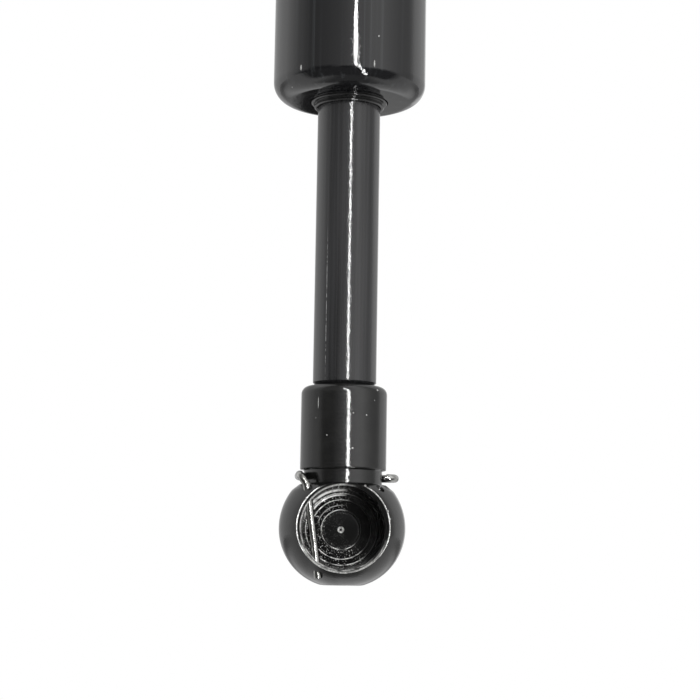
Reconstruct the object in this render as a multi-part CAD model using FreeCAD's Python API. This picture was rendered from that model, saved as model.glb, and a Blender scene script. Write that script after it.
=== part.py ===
import FreeCAD, Part
import math
import os

from FreeCAD import Vector

# A gas strut for a cabinet door, stretched to its full length. The strut stands along Z with its rod
# down. The origin is the centre of the ball seat on the tube's end, and both ball cavities face -Y.
# All sizes are in millimetres.

# Fits
slip_fit = 0.05           # radial gap of pieces that are pushed together and stay put
running_fit = 0.05        # radial gap of pieces that slide or turn on each other
stop_gap = 0.1            # gap left at an end stop

# Tube
tube_diameter = 19.5
tube_wall = 1.0
mouth_gap = 1.0           # radial gap between the rod and the tube's rolled mouth
roll_radius = 2.4         # outer radius of the rolled-in edges
bead_depth = 0.8          # how far the rolled bead stands into the bore
bead_height = 1.8

# Rod
rod_diameter = 8.0
stroke = 30.0
rod_left_out = 6.8        # length of rod that stays outside when the strut is closed
rod_shoulder_chamfer = 0.5
spigot_diameter = 6.0     # M6 thread, drawn at its outer diameter
spigot_length = 8.5
spigot_chamfer = 0.8
undercut_depth = 0.55
undercut_length = 1.2
tenon_diameter = 5.0
rivet_overlap = 1.0       # how far the riveted head stands out past the tenon
rivet_head_height = 1.2

# Guide, bush, wiper and seal at the rod's end of the tube
guide_length = 8.0
guide_gap = 0.2           # radial gap between the guide's own bore and the rod
bush_wall = 0.9
bush_length = 4.4
wiper_flange_overlap = 1.5    # how far the wiper's flange reaches behind the tube's mouth
wiper_flange_length = 2.4
wiper_ring_gap = 0.15     # radial gap between the wiper's ring and the tube's mouth
wiper_ring_reach = 0.2    # from the tube's end face out to the wiper's ring
wiper_groove_depth = 0.15
wiper_groove_length = 0.3
wiper_lip_wall = 0.4
wiper_lip_reach = 0.8     # from the tube's end face out to the wiper's lip
wiper_lip_chamfer = 0.15
seal_length = 5.0
seal_relief = 0.4         # radial gap between the seal's back and the rod
seal_lip_length = 1.6
seal_groove_width = 1.6
seal_groove_depth = 3.0
support_washer_length = 1.0
support_washer_gap = 0.3  # radial gap between the washer and the rod

# Ring groove of the guide and the end plug, with its O-ring
o_ring_section = 1.8
o_ring_groove_width = 2.3
o_ring_squeeze = 0.15     # how much the fitted ring is flattened across

# Piston
piston_gap = 0.3          # radial gap between the piston and the bore
piston_length = 5.0
piston_groove_width = 2.0
piston_groove_depth = 1.4
piston_ring_wall = 1.2
piston_ring_length = 1.7
piston_port_diameter = 1.4
piston_port_wall = 0.6    # between a port and the floor of the ring groove
piston_port_count = 3
port_rim = 0.1            # between a port and the washers on both sides of the piston
stop_washer_clear = 0.3   # how far the stop washer holds the piston clear of the bead
throttle_disc_gap = 1.3   # radial gap between the disc and the bore
throttle_disc_length = 0.5
throttle_bore = 0.7
rivet_washer_length = 1.5
closed_gas_room = 27.3    # free length behind the piston when the strut is closed

# End plug
plug_length = 8.0
plug_boss_reach = 1.0     # from the tube's end face out to the socket's seat
plug_recess_diameter = 9.0
plug_recess_depth = 2.5

# Ball sockets, the same piece at both ends
ball_diameter = 10.0
ball_clearance = 0.15     # radial gap between the ball and its cavity
head_wall = 2.75          # behind the ball, and round it
chin_offset = 0.6         # the head's lower half is an arc about points this far off the axis
chin_cut = 0.25           # depth of the small flat under the head
neck_diameter = 9.8
neck_sink = 2.5           # from the top of the head's round down to the neck's groove
head_edge_drop = 0.8      # chamfer of the head's top edge, which the clip swings over
head_edge_run = 1.0
shank_length = 10.5
shank_diameter = 10.8
shank_round = 1.0
shank_edge = 0.15
thread_end_room = 1.1     # between the stud's end and the end of its hole
thread_hole_chamfer = 0.5
drill_point_angle = 118.0
mouth_chamfer = 0.55
mouth_chamfer_depth = 1.0
cavity_wall_depth = 1.2   # how far the cavity's straight wall runs past the ball centre
cavity_step_insets = (0.69, 1.45, 2.7)    # from the wall in to each turned step
cavity_pip_diameter = 0.9
cavity_pip_depth = 0.35
spare_hole_depth = 3.2    # from the neck's groove down

# Wire clips, the same piece at both ends
wire_diameter = 1.0
wire_hole_gap = 0.05
leg_ball_gap = 0.06       # between the leg and the ball
leg_bearing = 46.75       # degrees, from sideways to the front, where the leg passes the ball
leg_tilt = 8.0            # degrees, the leg leans outward towards the neck
leg_tail_inset = 0.85     # from the flat under the head up to the leg's cut end
kink_drop = 0.1           # from the neck's groove down to where the leg leans further out
corner_lean = 0.7         # how far the corner stands out past the line of the leg
kink_radius = 2.0
corner_radius = 0.9
neck_gap = 0.15           # radial gap between the clip's wrap and the neck
wrap_top_gap = 0.3        # between the wrapped wire and the shank
wrap_swing_room = 0.55    # between the wrapped wire and the head, for the clip to swing out
tab_start_run = 0.6
tab_bend_radius = 1.2
tab_run = 0.2
tab_turn_radius = 0.9
tab_end_run = 0.2

# Worked out from the sizes above
tube_radius = tube_diameter / 2
bore_radius = tube_radius - tube_wall
rod_radius = rod_diameter / 2
tube_mouth_radius = rod_radius + mouth_gap
plug_radius = bore_radius - slip_fit
tenon_radius = tenon_diameter / 2
rivet_radius = tenon_radius + rivet_overlap
piston_radius = bore_radius - piston_gap
port_circle_radius = piston_radius - piston_groove_depth - piston_port_wall - piston_port_diameter / 2
clamp_washer_radius = port_circle_radius - piston_port_diameter / 2 - port_rim
wire_radius = wire_diameter / 2
cavity_radius = ball_diameter / 2 + ball_clearance
mouth_radius = cavity_radius + mouth_chamfer
head_radius = cavity_radius + head_wall
mouth_forward = math.sqrt(head_radius ** 2 - mouth_radius ** 2)
chin_radius = head_radius - chin_offset
chin_drop = chin_radius - chin_cut
neck_start = head_radius - neck_sink
neck_height = wire_diameter + wrap_top_gap + wrap_swing_room
socket_length = neck_start + neck_height + shank_length
leg_distance = ball_diameter / 2 + wire_radius + leg_ball_gap
leg_across = leg_distance * math.cos(math.radians(leg_bearing))
leg_forward = leg_distance * math.sin(math.radians(leg_bearing))
leg_tail = chin_drop - leg_tail_inset
wrap_height = neck_start + neck_height - wrap_top_gap - wire_radius
stop_washer_length = bead_height + stop_washer_clear
tube_length = (
    tube_wall + guide_length + seal_length + support_washer_length
    + stop_gap + stop_washer_length + piston_length + throttle_disc_length
    + rivet_washer_length + rivet_head_height + stroke + closed_gas_room
    + plug_length + tube_wall
)

# Heights of the faces along the strut
tube_top = -(socket_length + plug_boss_reach)
tube_bottom = tube_top - tube_length
rod_shoulder = tube_bottom - rod_left_out - stroke
rod_ball = rod_shoulder - socket_length
guide_bottom = tube_bottom + tube_wall
seal_bottom = guide_bottom + guide_length
support_bottom = seal_bottom + seal_length
support_top = support_bottom + support_washer_length
bead_middle = support_top + bead_height / 2
stop_washer_bottom = support_top + stop_gap
piston_bottom = stop_washer_bottom + stop_washer_length
throttle_bottom = piston_bottom + piston_length
rivet_washer_bottom = throttle_bottom + throttle_disc_length
rivet_bottom = rivet_washer_bottom + rivet_washer_length
rivet_top = rivet_bottom + rivet_head_height
plug_top = tube_top - tube_wall
plug_bottom = plug_top - plug_length


def turned(start, *steps):
    """Solid turned about Z. A step is a point (radius, height), or an arc as ((middle), (end))."""
    edges = []
    here = Vector(start[0], 0, start[1])
    for step in steps + (start,):
        if isinstance(step[0], tuple):
            middle = Vector(step[0][0], 0, step[0][1])
            there = Vector(step[1][0], 0, step[1][1])
            edges.append(Part.Arc(here, middle, there).toShape())
        else:
            there = Vector(step[0], 0, step[1])
            if here.distanceToPoint(there) < 1e-7:
                continue
            edges.append(Part.LineSegment(here, there).toShape())
        here = there
    face = Part.Face(Part.Wire(edges))
    return face.revolve(Vector(0, 0, 0), Vector(0, 0, 1), 360)


def on_circle(centre, radius, degrees):
    """Point on a circle of the (radius, height) plane."""
    angle = math.radians(degrees)
    return (centre[0] + radius * math.cos(angle), centre[1] + radius * math.sin(angle))


def washer(outer_radius, inner_radius, bottom, height):
    """Plain flat ring."""
    return turned(
        (inner_radius, bottom), (outer_radius, bottom),
        (outer_radius, bottom + height), (inner_radius, bottom + height),
    )


def rod_between(start, end, radius):
    """Round bar between two points."""
    return Part.makeCylinder(radius, (end - start).Length, start, end - start)


def cylinder_tube():
    """Tube with both edges rolled in, and a rolled bead that holds the seal's support washer."""
    inner_roll = roll_radius - tube_wall
    roll_middle = tube_radius - roll_radius
    low = (roll_middle, tube_bottom + roll_radius)
    high = (roll_middle, tube_top - roll_radius)
    half_bead = bead_height / 2
    outside = turned(
        (0, tube_bottom),
        (roll_middle, tube_bottom),
        (on_circle(low, roll_radius, -45), (tube_radius, low[1])),
        (tube_radius, bead_middle - half_bead),
        ((tube_radius - bead_depth, bead_middle), (tube_radius, bead_middle + half_bead)),
        (tube_radius, high[1]),
        (on_circle(high, roll_radius, 45), (roll_middle, tube_top)),
        (0, tube_top),
    )
    inside = turned(
        (0, tube_bottom + tube_wall),
        (roll_middle, tube_bottom + tube_wall),
        (on_circle(low, inner_roll, -45), (bore_radius, low[1])),
        (bore_radius, bead_middle - half_bead),
        ((bore_radius - bead_depth, bead_middle), (bore_radius, bead_middle + half_bead)),
        (bore_radius, high[1]),
        (on_circle(high, inner_roll, 45), (roll_middle, tube_top - tube_wall)),
        (0, tube_top - tube_wall),
    )
    mouths = Part.makeCylinder(tube_mouth_radius, tube_length, Vector(0, 0, tube_bottom))
    return outside.cut(inside).cut(mouths)


def ring_groove(middle):
    """Tool that cuts the O-ring's groove round the guide or the end plug."""
    floor = bore_radius - o_ring_section + o_ring_squeeze
    half = o_ring_groove_width / 2
    return washer(tube_radius, floor, middle - half, o_ring_groove_width)


def fitted_o_ring(middle):
    """O-ring in its groove, flattened a little between the groove's floor and the tube."""
    outer = bore_radius - slip_fit
    inner = bore_radius - o_ring_section + o_ring_squeeze + slip_fit
    half_width = (outer - inner) / 2
    half_height = o_ring_section / 2
    round_part = half_height - o_ring_squeeze
    flat = half_width - round_part
    centre = (outer + inner) / 2
    return turned(
        (centre - flat, middle - half_height),
        (centre + flat, middle - half_height),
        ((outer, middle), (centre + flat, middle + half_height)),
        (centre - flat, middle + half_height),
        ((inner, middle), (centre - flat, middle - half_height)),
    )


def rod_guide():
    """Guide with a corner that follows the rolled edge, a seat for the wiper and one for the bush."""
    corner = (tube_radius - roll_radius, tube_bottom + roll_radius)
    corner_round = roll_radius - tube_wall - slip_fit
    wiper_seat = tube_mouth_radius + wiper_flange_overlap + slip_fit
    wiper_seat_top = guide_bottom + wiper_flange_length + slip_fit
    bush_seat = rod_radius + running_fit + bush_wall + slip_fit
    bush_seat_bottom = seal_bottom - bush_length - slip_fit
    guide_bore = rod_radius + guide_gap
    body = turned(
        (wiper_seat, guide_bottom),
        (corner[0], guide_bottom),
        (corner[0], corner[1] - corner_round),
        (on_circle(corner, corner_round, -45), (plug_radius, corner[1])),
        (plug_radius, seal_bottom),
        (bush_seat, seal_bottom),
        (bush_seat, bush_seat_bottom),
        (guide_bore, bush_seat_bottom),
        (guide_bore, wiper_seat_top),
        (wiper_seat, wiper_seat_top),
    )
    return body.cut(ring_groove(guide_ring_height()))


def guide_ring_height():
    """Middle of the guide's O-ring, halfway up the guide's straight side."""
    return (tube_bottom + roll_radius + seal_bottom) / 2


def plug_ring_height():
    """Middle of the end plug's O-ring, halfway up the plug's straight side."""
    return (tube_top - roll_radius + plug_bottom) / 2


def guide_bush():
    """Thin-walled bush that the rod slides in."""
    bore = rod_radius + running_fit
    return washer(bore + bush_wall, bore, seal_bottom - bush_length, bush_length)


def wiper_ring():
    """Dust wiper, with a ring that fills the tube's mouth and a lip that stands out round the rod."""
    bore = rod_radius + running_fit
    flange = tube_mouth_radius + wiper_flange_overlap
    flange_top = guide_bottom + wiper_flange_length
    ring = tube_mouth_radius - wiper_ring_gap
    ring_face = tube_bottom - wiper_ring_reach
    lip = bore + wiper_lip_wall
    lip_face = tube_bottom - wiper_lip_reach
    groove = lip - wiper_groove_depth
    return turned(
        (bore, flange_top),
        (flange, flange_top),
        (flange, guide_bottom),
        (ring, guide_bottom),
        (ring, ring_face),
        (groove, ring_face),
        (groove, ring_face - wiper_groove_length),
        (lip, ring_face - wiper_groove_length),
        (lip, lip_face + wiper_lip_chamfer),
        (lip - wiper_lip_chamfer, lip_face),
        (bore, lip_face),
    )


def rod_seal():
    """Lip seal, with its groove open to the pressure side."""
    bore = rod_radius + running_fit
    back = rod_radius + seal_relief
    top = seal_bottom + seal_length
    lip_bottom = top - seal_lip_length
    groove_middle = (bore + plug_radius) / 2
    groove_half = seal_groove_width / 2
    floor = top - seal_groove_depth + groove_half
    return turned(
        (back, seal_bottom),
        (plug_radius, seal_bottom),
        (plug_radius, top),
        (groove_middle + groove_half, top),
        (groove_middle + groove_half, floor),
        ((groove_middle, floor - groove_half), (groove_middle - groove_half, floor)),
        (groove_middle - groove_half, top),
        (bore, top),
        (bore, lip_bottom),
        (back, lip_bottom - seal_relief),
    )


def seal_support_washer():
    """Steel washer between the seal and the tube's bead, which the piston stops against."""
    return washer(
        plug_radius, rod_radius + support_washer_gap, support_bottom, support_washer_length)


def end_plug():
    """Plug that closes the tube, with a boss through the rolled mouth and a threaded stud."""
    corner = (tube_radius - roll_radius, tube_top - roll_radius)
    corner_round = roll_radius - tube_wall - slip_fit
    boss = tube_mouth_radius - slip_fit
    seat = tube_top + plug_boss_reach
    recess = plug_recess_diameter / 2
    body = turned(
        (recess, plug_bottom),
        (plug_radius, plug_bottom),
        (plug_radius, corner[1]),
        (on_circle(corner, corner_round, 45), (corner[0], corner[1] + corner_round)),
        (corner[0], plug_top),
        (boss, plug_top),
        (boss, seat),
        *stud_outline(seat, 1),
        (0, plug_bottom + plug_recess_depth),
        (recess - plug_recess_depth / 2, plug_bottom + plug_recess_depth),
    )
    return body.cut(ring_groove(plug_ring_height()))


def stud_outline(seat, way):
    """Outline of a threaded stud with an undercut at its root, up (1) or down (-1) from the given seat."""
    radius = spigot_diameter / 2
    root = radius - undercut_depth
    return [
        (root, seat),
        (root, seat + way * undercut_length),
        (radius, seat + way * (undercut_length + radius - root)),
        (radius, seat + way * (spigot_length - spigot_chamfer)),
        (radius - spigot_chamfer, seat + way * spigot_length),
        (0, seat + way * spigot_length),
    ]


def piston_rod():
    """Rod with a threaded spigot outside, and inside a tenon with a riveted head."""
    dome_radius = (rivet_radius ** 2 + rivet_head_height ** 2) / (2 * rivet_head_height)
    dome_centre = (0, rivet_top - dome_radius)
    dome_side = (90 + math.degrees(math.acos(rivet_radius / dome_radius))) / 2
    return turned(
        (0, rivet_top),
        (on_circle(dome_centre, dome_radius, dome_side), (rivet_radius, rivet_bottom)),
        (tenon_radius, rivet_bottom),
        (tenon_radius, stop_washer_bottom),
        (rod_radius, stop_washer_bottom),
        (rod_radius, rod_shoulder + rod_shoulder_chamfer),
        (rod_radius - rod_shoulder_chamfer, rod_shoulder),
        *stud_outline(rod_shoulder, -1),
    )


def piston_stop_washer():
    """Thick washer on the rod's shoulder that meets the seal's support washer at full length."""
    return washer(
        clamp_washer_radius, tenon_radius + slip_fit, stop_washer_bottom, stop_washer_length)


def piston():
    """Piston with its ring groove and its flow ports."""
    body = washer(piston_radius, tenon_radius + slip_fit, piston_bottom, piston_length)
    groove_bottom = piston_bottom + (piston_length - piston_groove_width) / 2
    body = body.cut(
        washer(tube_radius, piston_radius - piston_groove_depth, groove_bottom, piston_groove_width))
    for number in range(piston_port_count):
        angle = 2 * math.pi * number / piston_port_count
        foot = Vector(math.cos(angle), math.sin(angle), 0) * port_circle_radius
        foot.z = piston_bottom
        body = body.cut(Part.makeCylinder(piston_port_diameter / 2, piston_length, foot))
    return body


def piston_ring():
    """Ring that seals the piston in the bore and floats in its groove."""
    outer = bore_radius - running_fit
    middle = piston_bottom + piston_length / 2
    return washer(outer, outer - piston_ring_wall, middle - piston_ring_length / 2, piston_ring_length)


def throttle_disc():
    """Disc over the piston's ports, with the small bore that sets the strut's speed."""
    disc = washer(
        bore_radius - throttle_disc_gap, tenon_radius + slip_fit, throttle_bottom, throttle_disc_length)
    place = Vector(port_circle_radius, 0, throttle_bottom)
    return disc.cut(Part.makeCylinder(throttle_bore / 2, throttle_disc_length, place))


def rivet_washer():
    """Washer under the rod's riveted head."""
    return washer(
        clamp_washer_radius, tenon_radius + slip_fit, rivet_washer_bottom, rivet_washer_length)


def leg_point(height):
    """Point on the clip's leg axis at a height above the ball centre."""
    across = leg_across + height * math.tan(math.radians(leg_tilt))
    return Vector(-across, -leg_forward, height)


def socket_blank():
    """Turned outline of the ball socket: head, neck and threaded shank."""
    shank = shank_diameter / 2
    hole = spigot_diameter / 2 + slip_fit
    neck_end = neck_start + neck_height
    chin_flat = chin_offset + math.sqrt(chin_radius ** 2 - chin_drop ** 2)
    chin_angle = math.degrees(math.asin(chin_drop / chin_radius))
    head_top = neck_start - head_edge_drop
    head_top_radius = math.sqrt(head_radius ** 2 - head_top ** 2)
    head_top_angle = math.degrees(math.asin(head_top / head_radius))
    shank_corner = (shank - shank_round, socket_length - shank_round)
    hole_end = socket_length - spigot_length - thread_end_room
    drill_point = hole / math.tan(math.radians(drill_point_angle / 2))
    return turned(
        (0, -chin_drop),
        (chin_flat, -chin_drop),
        (on_circle((chin_offset, 0), chin_radius, -chin_angle / 2), (head_radius, 0)),
        (on_circle((0, 0), head_radius, head_top_angle / 2), (head_top_radius, head_top)),
        (head_top_radius - head_edge_run, neck_start),
        (neck_diameter / 2, neck_start),
        (neck_diameter / 2, neck_end),
        (shank - shank_edge, neck_end),
        (shank, neck_end + shank_edge),
        (shank, shank_corner[1]),
        (on_circle(shank_corner, shank_round, 45), (shank_corner[0], socket_length)),
        (hole + thread_hole_chamfer, socket_length),
        (hole, socket_length - thread_hole_chamfer),
        (hole, hole_end),
        (0, hole_end - drill_point),
    )


def ball_cavity():
    """Tool for the cavity: chamfered mouth, straight wall, and cones that step down to a centre pip."""
    seat = cavity_radius
    radii = [seat - inset for inset in cavity_step_insets]
    steps = [(radius, math.sqrt(seat ** 2 - radius ** 2)) for radius in radii]
    floor = seat
    pip = cavity_pip_diameter / 2
    outline = [
        (mouth_radius, -head_radius),
        (mouth_radius, -mouth_forward),
        (seat, mouth_chamfer_depth - mouth_forward),
        (seat, cavity_wall_depth),
        *steps,
        (steps[-1][0], floor),
        (pip, floor),
        (0, floor + cavity_pip_depth),
    ]
    tool = turned((0, -head_radius), *outline)
    return tool.rotated(Vector(0, 0, 0), Vector(1, 0, 0), -90)


def ball_socket():
    """Ball socket about its ball centre, shank up: blank, cavity, and the holes for the clip's leg."""
    hole = wire_radius + wire_hole_gap
    socket = socket_blank().cut(ball_cavity())
    socket = socket.cut(rod_between(leg_point(-head_radius), leg_point(neck_start), hole))
    spare_end = leg_point(neck_start)
    spare_start = leg_point(neck_start - spare_hole_depth)
    for point in (spare_end, spare_start):
        point.x = -point.x
    return socket.cut(rod_between(spare_start, spare_end, hole))


def bend(before, corner, after, radius):
    """Start, middle and end of the arc that rounds a corner of the wire."""
    way_in = (before - corner).normalize()
    way_out = (after - corner).normalize()
    half = way_in.getAngle(way_out) / 2
    cut_back = radius / math.tan(half)
    to_centre = (way_in + way_out).normalize()
    centre = corner + to_centre * (radius / math.sin(half))
    return corner + way_in * cut_back, centre - to_centre * radius, corner + way_out * cut_back


def clip_edges():
    """Centre line of the wire clip: leg, kink, corner, wrap round the neck, and thumb tab."""
    wrap = neck_diameter / 2 + neck_gap + wire_radius
    tail = leg_point(-leg_tail)
    kink = leg_point(neck_start - kink_drop)
    leg_top = leg_point(wrap_height)
    corner = leg_top + Vector(-corner_lean, 0, 0)
    reach = math.hypot(corner.x, corner.y)
    start_angle = math.atan2(corner.y, corner.x) - math.acos(wrap / reach) + 2 * math.pi
    end_angle = math.atan2(-leg_top.y, -leg_top.x)

    def on_wrap(angle):
        return Vector(wrap * math.cos(angle), wrap * math.sin(angle), wrap_height)

    points = [tail]
    arcs = []
    for before, at, after, radius in (
        (tail, kink, corner, kink_radius), (kink, corner, on_wrap(start_angle), corner_radius),
    ):
        arcs.append(bend(before, at, after, radius))
    arcs.append((on_wrap(start_angle), on_wrap((start_angle + end_angle) / 2), on_wrap(end_angle)))
    arcs += tab_arcs(on_wrap(end_angle), end_angle - math.pi / 2)
    last = arcs[-1][2]
    points += [point for arc in arcs for point in (arc[0], arc[2])]
    points.append(last + Vector(-tab_end_run, 0, 0))
    edges = []
    for number, arc in enumerate(arcs):
        edges.append(Part.LineSegment(points[2 * number], points[2 * number + 1]).toShape())
        edges.append(Part.Arc(*arc).toShape())
    edges.append(Part.LineSegment(points[-2], points[-1]).toShape())
    return edges


def tab_arcs(start, heading):
    """Arcs of the thumb tab: a bend outward to +X, then a turn back beside the neck."""
    forward = Vector(math.cos(heading), math.sin(heading), 0)
    begin = start + forward * tab_start_run
    centre = begin + Vector(-forward.y, forward.x, 0) * tab_bend_radius

    def on_bend(angle):
        return centre + Vector(math.cos(angle), math.sin(angle), 0) * tab_bend_radius

    middle = on_bend((heading - math.pi) / 2)
    end = on_bend(-math.pi / 2)
    turn_start = end + Vector(tab_run, 0, 0)
    turn_middle = turn_start + Vector(tab_turn_radius, -tab_turn_radius, 0)
    turn_end = turn_start + Vector(0, -2 * tab_turn_radius, 0)
    return [(begin, middle, end), (turn_start, turn_middle, turn_end)]


def safety_clip():
    """Wire clip about the ball centre: its leg crosses the cavity in front of the ball."""
    path = Part.Wire(clip_edges())
    tail = leg_point(-leg_tail)
    along = leg_point(0) - tail
    section = Part.Wire(Part.Circle(tail, along, wire_radius).toShape())
    return path.makePipeShell([section], True, False)


def at_rod_end(shape):
    """Puts a fitting on the rod."""
    return shape.translated(Vector(0, 0, rod_ball))


def at_tube_end(shape):
    """Puts a fitting on the tube's stud, turned so that its cavity still faces -Y."""
    return shape.rotated(Vector(0, 0, 0), Vector(0, 1, 0), 180)


def build():
    """Every piece of the strut by its node's name."""
    return {
        "cylinder_tube": cylinder_tube(),
        "end_plug": end_plug(),
        "end_plug_o_ring": fitted_o_ring(plug_ring_height()),
        "wiper_ring": wiper_ring(),
        "rod_guide": rod_guide(),
        "guide_bush": guide_bush(),
        "guide_o_ring": fitted_o_ring(guide_ring_height()),
        "rod_seal": rod_seal(),
        "seal_support_washer": seal_support_washer(),
        "piston_rod": piston_rod(),
        "piston_stop_washer": piston_stop_washer(),
        "piston": piston(),
        "piston_ring": piston_ring(),
        "throttle_disc": throttle_disc(),
        "rivet_washer": rivet_washer(),
        "rod_ball_socket": at_rod_end(ball_socket()),
        "rod_safety_clip": at_rod_end(safety_clip()),
        "tube_ball_socket": at_tube_end(ball_socket()),
        "tube_safety_clip": at_tube_end(safety_clip()),
    }


os.makedirs("parts", exist_ok=True)
for name, shape in build().items():
    print(name, shape.isValid(), len(shape.Solids), round(shape.Volume, 2))
    shape.exportStep("parts/" + name + ".step")
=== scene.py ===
import math
import bpy
from mathutils import Matrix, Vector


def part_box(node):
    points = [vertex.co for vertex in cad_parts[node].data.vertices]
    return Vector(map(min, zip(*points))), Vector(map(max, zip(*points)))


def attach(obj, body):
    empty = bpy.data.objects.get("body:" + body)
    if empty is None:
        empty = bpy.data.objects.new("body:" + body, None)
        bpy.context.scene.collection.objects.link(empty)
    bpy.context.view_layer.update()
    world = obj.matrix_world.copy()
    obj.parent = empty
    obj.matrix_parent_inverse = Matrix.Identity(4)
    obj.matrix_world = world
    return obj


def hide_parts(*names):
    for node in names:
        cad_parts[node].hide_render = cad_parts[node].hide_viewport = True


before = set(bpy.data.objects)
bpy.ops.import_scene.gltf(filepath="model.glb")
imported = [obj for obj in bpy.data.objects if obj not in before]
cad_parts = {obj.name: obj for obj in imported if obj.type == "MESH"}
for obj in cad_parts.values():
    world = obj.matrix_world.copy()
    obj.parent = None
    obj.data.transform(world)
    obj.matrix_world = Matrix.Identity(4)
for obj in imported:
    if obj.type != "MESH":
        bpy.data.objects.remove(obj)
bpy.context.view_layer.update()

# A gas strut for a cabinet door, hanging stretched with its rod down. Metres, in the CAD's frame: the
# origin is the ball centre on the tube's end, and both ball cavities face -Y.

MM = 0.001
CM = 0.01
AROUND = 192              # facets round a turned piece
SOCKET_AROUND = 256       # facets round a ball socket and its cavity
WIRE_AROUND = 32          # facets round the clip's wire and its holes
MERGE = 0.001 * MM        # points nearer than this are merged
UP = Vector((0, 0, 1))
CAVITY_DARK = (0.007, 0.007, 0.007)      # the black finish inside the ball cavities

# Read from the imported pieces
tube_low, tube_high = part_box("cylinder_tube")
wiper_low, wiper_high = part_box("wiper_ring")
plug_low, plug_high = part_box("end_plug")
rod_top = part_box("piston_rod")[1].z
socket_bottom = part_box("rod_ball_socket")[0].z

# Tube
tube_radius = 9.75 * MM
tube_wall = 1.0 * MM
tube_bore = tube_radius - tube_wall
tube_mouth = 5.0 * MM
roll_radius = 2.4 * MM
bead_middle = -94.55 * MM
bead_height = 1.8 * MM
bead_depth = 0.8 * MM

# Rod and its fittings
rod_radius = 4.0 * MM
clearance = 0.05 * MM
rod_chamfer = 0.5 * MM
spigot_radius = 3.0 * MM
spigot_length = 8.5 * MM
undercut_depth = 0.55 * MM
undercut_length = 1.2 * MM
spigot_chamfer = 0.8 * MM

# Ball sockets, measured from the ball centre
head_radius = 7.9 * MM
chin_radius = 7.3 * MM
chin_offset = 0.6 * MM
chin_drop = 7.05 * MM
neck_start = 5.4 * MM
neck_end = 7.25 * MM
neck_radius = 4.9 * MM
head_edge_drop = 0.8 * MM
head_edge_run = 1.0 * MM
socket_length = 17.75 * MM
shank_radius = 5.4 * MM
shank_round = 1.0 * MM
seat_radius = 5.15 * MM
mouth_radius = 5.7 * MM
chamfer_end = 1.0 * MM - math.sqrt(head_radius ** 2 - mouth_radius ** 2)
# Width of the rim's band of worn steel and painted highlight, outward and inward of the mouth
rim_worn_lit_out = 0.06 * MM
rim_worn_lit_in = 0.08 * MM
cavity_rings = (4.46 * MM, 3.7 * MM, 2.45 * MM)
ridge_size = 0.075 * MM
rod_ball = socket_bottom + chin_drop

# Wire clips
wire_radius = 0.5 * MM
leg_across = 3.8096 * MM
leg_forward = 4.0498 * MM
leg_tilt = math.radians(8.0)
tail_lift = 0.85 * MM
kink_drop = 0.1 * MM
kink_bend = 2.0 * MM
corner_lean = 0.7 * MM
corner_bend = 0.9 * MM
neck_gap = 0.15 * MM
wrap_top_gap = 0.3 * MM
tab_lead = 0.6 * MM
tab_bend = 1.2 * MM
tab_run = 0.2 * MM
tab_turn = 0.9 * MM


def only(piece):
    """Selects one object and makes it the active one."""
    bpy.ops.object.select_all(action="DESELECT")
    piece.select_set(True)
    bpy.context.view_layer.objects.active = piece


def settle(piece):
    """Puts the object's place and turn into its mesh."""
    only(piece)
    bpy.ops.object.transform_apply(location=True, rotation=True, scale=True)


def arc(centre, radius, first, last, steps):
    """Points along an arc of the (radius, height) plane, from one angle to another in degrees."""
    points = []
    for number in range(steps + 1):
        angle = math.radians(first + (last - first) * number / steps)
        points.append((centre[0] + radius * math.cos(angle), centre[1] + radius * math.sin(angle)))
    return points


def small_steps(radius, height, offsets, unit=MM):
    """Points of an outline at small offsets from one of its corners, in millimetres or another unit."""
    return [(radius + out * unit, height + rise * unit) for out, rise in offsets]


def draw_outline(name, outline):
    """Object with a chain of points in the XZ plane, drawn point by point, left in edit mode."""
    bpy.ops.object.select_all(action="DESELECT")
    bpy.ops.mesh.primitive_plane_add(size=MM, location=(0, 0, 0))
    piece = bpy.context.object
    piece.name = name
    piece.data.name = name
    bpy.ops.object.mode_set(mode="EDIT")
    bpy.ops.mesh.select_all(action="SELECT")
    bpy.ops.mesh.merge(type="CENTER")
    here = Vector((outline[0][0], 0, outline[0][1]))
    bpy.ops.transform.translate(value=here)
    for radius, height in outline[1:]:
        there = Vector((radius, 0, height))
        bpy.ops.mesh.extrude_vertices_move(TRANSFORM_OT_translate={"value": there - here})
        here = there
    return piece


def turned(name, outline, finish, around=AROUND):
    """Piece turned about the strut's axis from its half outline, which is closed if its ends meet."""
    piece = draw_outline(name, outline)
    bpy.ops.mesh.select_all(action="SELECT")
    bpy.ops.mesh.remove_doubles(threshold=MERGE)
    bpy.ops.mesh.select_all(action="SELECT")
    bpy.ops.mesh.spin(steps=around, angle=2 * math.pi, center=(0, 0, 0), axis=UP)
    bpy.ops.mesh.select_all(action="SELECT")
    bpy.ops.mesh.remove_doubles(threshold=MERGE)
    bpy.ops.mesh.normals_make_consistent(inside=False)
    bpy.ops.object.mode_set(mode="OBJECT")
    piece.data.materials.append(finish)
    return piece


def cut(piece, tool):
    """Takes one solid out of another, with the tool's materials on the cut faces, and removes the tool."""
    only(piece)
    modifier = piece.modifiers.new("cut", "BOOLEAN")
    modifier.operation = "DIFFERENCE"
    modifier.solver = "EXACT"
    modifier.material_mode = "TRANSFER"
    modifier.object = tool
    bpy.ops.object.modifier_apply(modifier=modifier.name)
    bpy.data.objects.remove(tool, do_unlink=True)


def finish_piece(piece, body, node, sharp=30):
    """Smooths a piece up to an angle, puts it under its body's empty, and hides the CAD node that it stands
    for.
    """
    only(piece)
    bpy.ops.object.shade_smooth_by_angle(angle=math.radians(sharp))
    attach(piece, body)
    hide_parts(node)


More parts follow.
